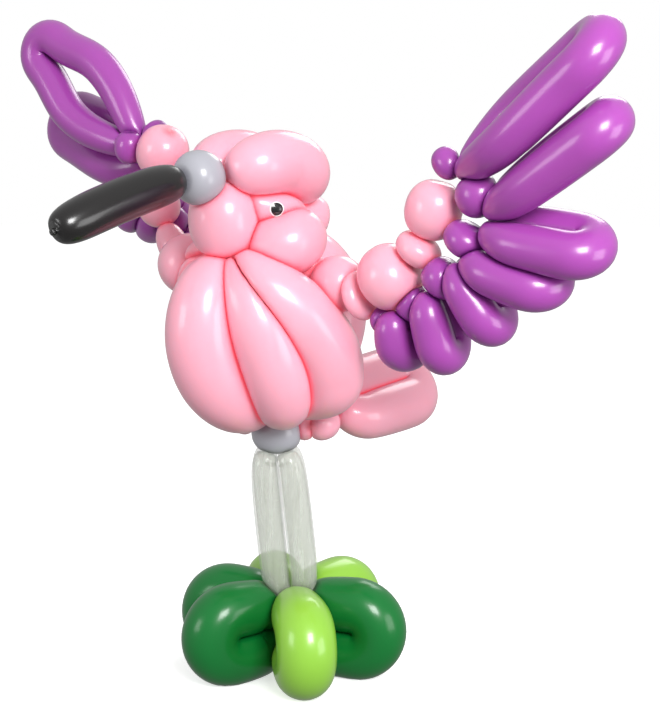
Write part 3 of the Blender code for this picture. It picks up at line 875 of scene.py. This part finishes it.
@dataclass
class TailFan(Assembly):
    """Small bubbles round the hip, then the folded tail loop."""

    twists: tuple = ((-48, -18, -20), (-30, -4, -22), (-8, 36, -22), (28, 24, -20), (24, 62, -20))
    thickness: tuple = (26, 28, 36, 37)
    bend: Point = (-32, 24, -22)
    way: Point = (-0.06, 1, 0.06)
    across: Point = (-0.7, 0, 0.7)
    root: Point = (-4, 8, 13)
    length: float = 128.0
    tube_d: float = 58.0
    spread: float = 22.0

    def __post_init__(self) -> None:
        """Lay out the small bubbles and the loop."""
        at = [self.figure.hip + np.array(p, float) for p in self.twists]
        bubbles = [round_bubble([a, b], d, 0.95) for a, b, d in zip(at[:-1], at[1:], self.thickness)]
        bend = self.figure.hip + np.array(self.bend, float)
        bubbles[1] = round_bubble([at[1], bend, at[2]], self.thickness[1])
        root = at[-1] + np.array(self.root, float)
        fold = loop_bubble(
            root, np.array(self.way), np.array(self.across), self.length, self.tube_d, self.spread, taper=0.35
        )
        self.balloons = [Balloon("tail", PINK, bubbles + [fold], 52)]


@dataclass(frozen=True)
class Feather:
    """One folded loop of a wing: where it grows from the neck, its way, and its sizes."""

    root: Point
    way: Point
    across: Point
    length: float
    thickness: float
    spread: float
    tip: float
    widest: float = 0.45


@dataclass(frozen=True)
class Knuckle:
    """One small purple bubble between two feathers: its twists and its thickness."""

    start: Point
    end: Point
    thickness: float


@dataclass(frozen=True)
class WingPlan:
    """One wing from the neck twist, with X outwards: its arm and its rows in twisting order."""

    side: Side
    arm: tuple
    arm_d: tuple
    tip: tuple
    middle: tuple
    inner: tuple


LEFT_WING = WingPlan(
    Side.LEFT,
    ((22, 43, 1), (53, 78, -14), (100, 73, -39), (122, 75, -31), (168, 84, 2), (184, 88, 26), (198, 92, 80)),
    (34, 58, 52, 68, 48, 56),
    (
        Knuckle((198, 88, 110), (218, 90, 86), 28),
        Feather((224, 92, 90), (158, 16, 130), (-0.38, 0.8, 0.46), 185, 43, 31, 24),
        Knuckle((231, 92, 84), (256, 92, 54), 43),
        Feather((256, 94, 54), (130, 20, 92), (-0.2, 0.9, 0.4), 144, 45, 18, 18),
    ),
    (
        Feather((252, 95, 38), (120, 34, -18), (-0.2, 0.9, 0.4), 104, 45, 18, 18),
        Knuckle((240, 92, 39), (222, 91, 14), 46),
        Feather((232, 94, 12), (92, 30, -28), (-0.2, 0.9, 0.4), 84, 44, 18, 18),
        Feather((218, 94, 2), (34, 20, -60), (-0.25, 0.95, 0.2), 68, 41, 16, 16),
        Knuckle((216, 91, 1), (192, 90, -24), 45),
    ),
    (
        Feather((186, 92, -27), (10, 14, -60), (-0.25, 0.95, 0.2), 64, 41, 16, 16),
        Knuckle((183, 88, -27), (155, 86, -49), 39),
        Feather((153, 89, -51), (0, 8, -34), (0.1, 0.95, 0.25), 40, 40, 16, 16),
        Knuckle((149, 83, -54), (123, 80, -62), 30),
    ),
)
RIGHT_WING = WingPlan(
    Side.RIGHT,
    ((20, -11, 7), (64, 4, -8), (118, 30, -20), (150, 32, 24), (168, 30, 70), (158, 26, 82), (124, 22, 126)),
    (36, 66, 34, 48, 30, 57),
    (
        Knuckle((149, 31, 133), (182, 33, 113), 26),
        Feather((182, 24, 108), (150, -25, 117), (-0.6, 0.15, 0.77), 192, 41, 35, 20, 0.6),
        Knuckle((178, 8, 126), (184, 10, 92), 32),
        Feather((198, 46, 90), (132, -2, 42), (-0.3, 0.3, 0.9), 156, 45, 24, 20),
    ),
    (
        Feather((192, 46, 70), (53, 16, -32), (0.5, 0.6, 0.5), 66, 42, 17, 17),
        Knuckle((190, 48, 66), (186, 52, 48), 30),
        Feather((184, 52, 46), (38, 23, -16), (0.5, 0.6, 0.5), 50, 42, 17, 17),
        Feather((172, 54, 44), (12, 22, -24), (0.7, 0.7, 0), 38, 42, 16, 16),
        Knuckle((172, 52, 40), (160, 50, 20), 28),
    ),
    (
        Feather((150, 58, 10), (0, 22, -22), (0.7, 0.7, 0), 32, 40, 15, 15),
        Knuckle((148, 56, 6), (132, 56, -4), 28),
        Feather((128, 56, -4), (-4, 16, -12), (0.7, 0.7, 0), 30, 40, 16, 16),
        Knuckle((126, 56, -8), (106, 52, -16), 26),
    ),
)


@dataclass
class Wing(Assembly):
    """The pink arm from the neck, and three purple balloons of feather loops and small bubbles."""

    plan: WingPlan = LEFT_WING
    shoulder_gap: float = 2.0

    def __post_init__(self) -> None:
        """Lay out the arm and the three balloons of feathers."""
        word = self.plan.side.word
        arm = [self.place(twist) for twist in self.plan.arm]
        bubbles = [round_bubble([a, b], d, 0.95) for a, b, d in zip(arm[:-1], arm[1:], self.plan.arm_d)]
        bubbles[0].gap = self.shoulder_gap
        self.balloons = [Balloon(f"{word}_wing_arm", PINK, bubbles, 48)]
        for part, row in (("tip", self.plan.tip), ("middle", self.plan.middle), ("inner", self.plan.inner)):
            made = [self.knuckle(item) if isinstance(item, Knuckle) else self.feather(item) for item in row]
            self.balloons.append(Balloon(f"{word}_wing_{part}_feathers", PURPLE, made, 44))

    def place(self, point: Point) -> np.ndarray:
        """A point of the plan, on this wing's side."""
        return self.figure.neck + self.plan.side.place(point)

    def knuckle(self, item: Knuckle) -> Bubble:
        """One small bubble between two feathers."""
        return round_bubble([self.place(item.start), self.place(item.end)], item.thickness, 0.95)

    def feather(self, item: Feather) -> Bubble:
        """One folded loop."""
        way, across = self.plan.side.place(item.way), self.plan.side.place(item.across)
        sizes = (item.length, item.thickness, item.spread, item.tip)
        return loop_bubble(self.place(item.root), way, across, *sizes, taper=item.widest)


@dataclass
class Head(Assembly):
    """Face, bubbles behind the eyes, cheeks, brows and nape."""

    face: tuple = ((0, -4, 2), (0, -10, 36), (0, -8, 78))
    face_d: float = 73.0
    eye_bubble: tuple = EYE_BUBBLE
    eye_bubble_d: float = EYE_BUBBLE_D
    cheek: tuple = ((37, 66, 37), (44, 38, 15), (13, 12, 13))
    cheek_d: float = 67.0
    brow: tuple = ((10, 84, 63), (29, 68, 86), (30, 42, 96), (29, 8, 93), (11, -10, 81))
    brow_d: float = 65.0
    nape: tuple = ((0, 100, 62), (0, 92, 38), (0, 58, 28))
    nape_d: float = 68.0

    def __post_init__(self) -> None:
        """Lay out both pink balloons of the head."""
        face = Bubble(smooth_line(self.row(self.face, Side.LEFT)), self.face_d / 2, 0.95, 2.2)
        left_eye, right_eye = (self.row(self.eye_bubble, side) for side in Side)
        left_cheek, right_cheek = (self.row(self.cheek, side) for side in Side)
        self.balloons = [
            Balloon(
                "head",
                PINK,
                [
                    face,
                    round_bubble(left_eye, self.eye_bubble_d, 0.94),
                    round_bubble(left_cheek, self.cheek_d),
                    round_bubble(right_cheek[::-1], self.cheek_d),
                    round_bubble(right_eye[::-1], self.eye_bubble_d, 0.94),
                ],
                56,
            ),
            Balloon(
                "brows_and_nape",
                PINK,
                [
                    Bubble(smooth_line(self.row(self.brow, Side.LEFT)), self.brow_d / 2, 0.95, 2.6),
                    Bubble(smooth_line(self.row(self.brow, Side.RIGHT)[::-1]), self.brow_d / 2, 0.95, 2.6),
                    round_bubble(self.row(self.nape, Side.LEFT), self.nape_d),
                ],
                56,
            ),
        ]

    def row(self, points: tuple, side: Side) -> list[np.ndarray]:
        """These places from the neck, on this side."""
        return [self.figure.neck + side.place(p) for p in points]


@dataclass
class Beak(Assembly):
    """The grey ball at the face and the long black beak with its nipple."""

    ball: tuple = ((0, -20, 83), (0, -65, 81))
    ball_d: float = 55.0
    line: tuple = ((0, -66, 81), (0, -111, 71), (0, -160, 57), (0, -212, 39))
    beak_d: float = 42.0
    nib_d: float = 7.0
    nib_length: float = 6.0
    nib_sunk: float = 0.5

    def __post_init__(self) -> None:
        """Lay out the ball and the beak."""
        neck = self.figure.neck
        ball = round_bubble([neck + np.array(p, float) for p in self.ball], self.ball_d, 0.9)
        line = [neck + np.array(p, float) for p in self.line]
        beak = Bubble(smooth_line(line), self.beak_d / 2, 0.99, 4.0)
        end = line[-1] - unit(line[-1] - line[-2]) * self.nib_sunk
        nib = round_bubble([end, end + unit(line[-1] - line[-2]) * self.nib_length], self.nib_d, 0.8)
        self.balloons = [Balloon("beak_ball", GREY, [ball], 48), Balloon("beak", BLACK, [beak, nib], 48)]


@dataclass(frozen=True)
class EyeGloss:
    """A printed eye: a glossy black disc with a narrow white rim."""

    name: str = "printed_eye"
    slot: str = "black_latex"

    def material(self) -> bpy.types.Material:
        """The material, made once. The attribute "rim" is the share of the way out from the middle."""
        found = bpy.data.materials.get(self.name)
        if found:
            return found
        made = bpy.data.materials.new(self.name)
        made.use_nodes = True
        nodes, links = made.node_tree.nodes, made.node_tree.links
        shader = nodes["Principled BSDF"]
        shader.inputs["Roughness"].default_value = 0.18
        shader.inputs["Coat Weight"].default_value = 0.5
        way_out = nodes.new("ShaderNodeAttribute")
        way_out.attribute_name = "rim"
        ramp = nodes.new("ShaderNodeValToRGB")
        ramp.color_ramp.elements[0].color = (0.006, 0.006, 0.007, 1)
        ramp.color_ramp.elements[0].position = 0.83
        ramp.color_ramp.elements[1].color = (0.93, 0.90, 0.90, 1)
        ramp.color_ramp.elements[1].position = 0.86
        links.new(way_out.outputs["Fac"], ramp.inputs["Fac"])
        links.new(ramp.outputs["Color"], shader.inputs["Base Color"])
        return made


@dataclass
class Eye:
    """A thin round eye that lies on the skin of its bubble."""

    figure: Figure
    side: Side
    bubble: tuple = EYE_BUBBLE
    bubble_d: float = EYE_BUBBLE_D
    face: Point = (0.87, -0.46, 0.17)
    eye_d: float = 15.0
    thick: float = 3.0
    gap: float = 3.6
    skin_thick: float = 0.8
    raised: float = 0.6
    drop: float = 3.2
    aft: float = 2.0

    def middle(self) -> np.ndarray:
        """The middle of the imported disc."""
        out = unit(self.side.place(self.face))
        spot = (self.side.place(self.bubble[0]) + self.side.place(self.bubble[1])) / 2
        return self.figure.neck + spot + out * (self.bubble_d / 2 + self.gap + self.thick / 2)

    def dress(self, under: list[bpy.types.Object]) -> bpy.types.Object:
        """Lay the disc on the skins under it.

        Args:
            under: the pieces that the eye may lie on.

        Returns:
            The finished piece.
        """
        bpy.ops.object.select_all(action="DESELECT")
        bpy.ops.mesh.primitive_uv_sphere_add(segments=48, ring_count=24, radius=1.0)
        piece = bpy.context.object
        piece.name = f"eye_{self.side.word}_disc"
        mesh = piece.data
        mesh.name = piece.name
        trees = [skin_tree(other) for other in under]
        out = Vector(unit(self.side.place(self.face)))
        right = out.cross(Vector((0, 0, 1))).normalized()
        up = right.cross(out)
        start = Vector((self.middle() - UP * self.drop + np.array([0, self.aft, 0])) * MM)
        rim = []
        for vert in mesh.vertices:
            spot = start + (right * vert.co.x + up * vert.co.y) * (self.eye_d / 2 * MM)
            hits = [tree.ray_cast(spot + out * RAY_START, -out, RAY_REACH)[3] for tree in trees]
            depth = min([h for h in hits if h is not None], default=RAY_START)
            rim.append(min(math.hypot(vert.co.x, vert.co.y), 1.0))
            raised = vert.co.z * self.skin_thick + self.raised
            vert.co = spot + out * (RAY_START - depth + raised * MM)
        spread = mesh.attributes.new("rim", "FLOAT", "POINT")
        spread.data.foreach_set("value", rim)
        bpy.ops.object.mode_set(mode="EDIT")
        bpy.ops.mesh.select_all(action="SELECT")
        bpy.ops.mesh.normals_make_consistent(inside=False)
        bpy.ops.object.mode_set(mode="OBJECT")
        bpy.ops.object.shade_smooth()
        register(piece, EyeGloss(), f"eye_{self.side.word}")
        return piece


def skin_tree(piece: bpy.types.Object) -> BVHTree:
    """The skin of a piece, ready to be met by rays."""
    mesh = piece.data
    return BVHTree.FromPolygons([v.co.copy() for v in mesh.vertices], [p.vertices[:] for p in mesh.polygons])


# Studio


@dataclass(frozen=True)
class Lamp:
    """One lamp: its place round the bird, its size in metres and its power in watts."""

    name: str
    azimuth: float
    height: float
    away: float
    size: float
    power: float


LAMPS = (
    Lamp("key", 66.0, 1.35, 1.9, 0.75, 44.0),
    Lamp("fill", -15.0, 0.9, 2.4, 0.9, 12.0),
    Lamp("side", 104.0, 0.42, 1.9, 0.9, 11.0),
    Lamp("back", 200.0, 1.6, 1.8, 0.9, 10.0),
)


@dataclass
class Studio:
    """Pale floor, soft lights and the camera at the photograph's angle."""

    azimuth: float = 45.0
    elevation: float = 9.5
    distance: float = 1.5
    right: float = 0.043
    height: float = 0.349
    lens: float = 70.9
    low_sky: float = 0.32
    high_sky: float = 0.66
    aim: float = 0.4
    shift: tuple = (0.0, 0.0, 0.0)

    def floor(self) -> None:
        """A wide plain floor."""
        bpy.ops.object.select_all(action="DESELECT")
        bpy.ops.mesh.primitive_plane_add(size=12, location=(0, 0, -0.0005))
        floor = bpy.context.object
        floor.name = "studio_floor"
        made = bpy.data.materials.new("studio_white")
        made.use_nodes = True
        shader = made.node_tree.nodes["Principled BSDF"]
        shader.inputs["Base Color"].default_value = (0.72, 0.72, 0.72, 1)
        shader.inputs["Emission Color"].default_value = (1, 1, 1, 1)
        shader.inputs["Emission Strength"].default_value = 0.62
        shader.inputs["Roughness"].default_value = 0.9
        shader.inputs["Specular IOR Level"].default_value = 0.1
        floor.data.materials.append(made)
        floor.visible_diffuse = False
        floor.visible_glossy = False

    def sky(self) -> None:
        """White to the camera. As a light it is weaker, and weakest from below."""
        world = bpy.data.worlds.new("studio_sky")
        bpy.context.scene.world = world
        world.use_nodes = True
        nodes, links = world.node_tree.nodes, world.node_tree.links
        out = nodes["World Output"]
        light = nodes["Background"]
        light.inputs["Color"].default_value = (1, 1, 1, 1)
        places = nodes.new("ShaderNodeTexCoord")
        apart = nodes.new("ShaderNodeSeparateXYZ")
        links.new(places.outputs["Generated"], apart.inputs["Vector"])
        reach = {"From_Min": -0.7, "From_Max": 0.8, "To_Min": self.low_sky, "To_Max": self.high_sky}
        height = added(world.node_tree, "ShaderNodeMapRange", **reach)
        links.new(apart.outputs["Z"], height.inputs["Value"])
        links.new(height.outputs["Result"], light.inputs["Strength"])
        seen = added(world.node_tree, "ShaderNodeBackground", Color=(1, 1, 1, 1), Strength=1.0)
        path = nodes.new("ShaderNodeLightPath")
        mix = nodes.new("ShaderNodeMixShader")
        links.new(path.outputs["Is Camera Ray"], mix.inputs["Fac"])
        links.new(light.outputs["Background"], mix.inputs[1])
        links.new(seen.outputs["Background"], mix.inputs[2])
        links.new(mix.outputs["Shader"], out.inputs["Surface"])

    def lamp(self, row: Lamp) -> None:
        """One square soft light aimed at the bird's middle."""
        turn = math.radians(row.azimuth)
        spot = Vector((math.sin(turn) * row.away, -math.cos(turn) * row.away, row.height))
        data = bpy.data.lights.new(row.name, "AREA")
        data.shape = "SQUARE"
        data.size = row.size
        data.energy = row.power
        lamp = bpy.data.objects.new(row.name, data)
        bpy.context.scene.collection.objects.link(lamp)
        lamp.location = spot
        lamp.rotation_mode = "QUATERNION"
        lamp.rotation_quaternion = (Vector((0, 0, self.aim)) - spot).to_track_quat("-Z", "Y")

    def camera(self) -> None:
        """The camera at the photograph's angle and framing."""
        a, e = math.radians(self.azimuth), math.radians(self.elevation)
        back = Vector((math.sin(a) * math.cos(e), -math.cos(a) * math.cos(e), math.sin(e)))
        right = Vector((math.cos(a), math.sin(a), 0))
        target = right * self.right + Vector((0, 0, self.height)) + Vector(self.shift) * MM
        data = bpy.data.cameras.new("view")
        data.lens = self.lens
        data.sensor_width = 36.0
        camera = bpy.data.objects.new("view", data)
        bpy.context.scene.collection.objects.link(camera)
        camera.location = target + back * self.distance
        camera.rotation_mode = "QUATERNION"
        camera.rotation_quaternion = (-back).to_track_quat("-Z", "Y")
        bpy.context.scene.camera = camera

    def build(self) -> None:
        """Set the whole studio up."""
        self.floor()
        self.sky()
        for row in LAMPS:
            self.lamp(row)
        self.camera()
        bpy.context.scene.view_settings.view_transform = "Standard"


def main() -> None:
    """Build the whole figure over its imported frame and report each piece."""
    logging.basicConfig(level=logging.INFO, format="%(message)s")
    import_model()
    figure = Figure()
    corners = np.array([list(c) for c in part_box("eye_left")]) / MM
    figure.shift = corners.mean(axis=0) - Eye(figure, Side.LEFT).middle()
    LOG.info("shift %s", figure.shift.round(3))
    head = Head(figure)
    groups = [PetalBase(figure), ClearPost(figure), Breast(figure), TailFan(figure), head, Beak(figure)]
    groups += [Wing(figure, plan=LEFT_WING), Wing(figure, plan=RIGHT_WING)]
    crowd = Crowd([b for group in groups for b in group.balloons])
    crowd.measure()
    made = {id(group): group.dress(crowd) for group in groups}
    for side in Side:
        Eye(figure, side).dress(made[id(head)][:1])
    Studio(shift=tuple(figure.shift)).build()


if __name__ == "__main__":
    main()
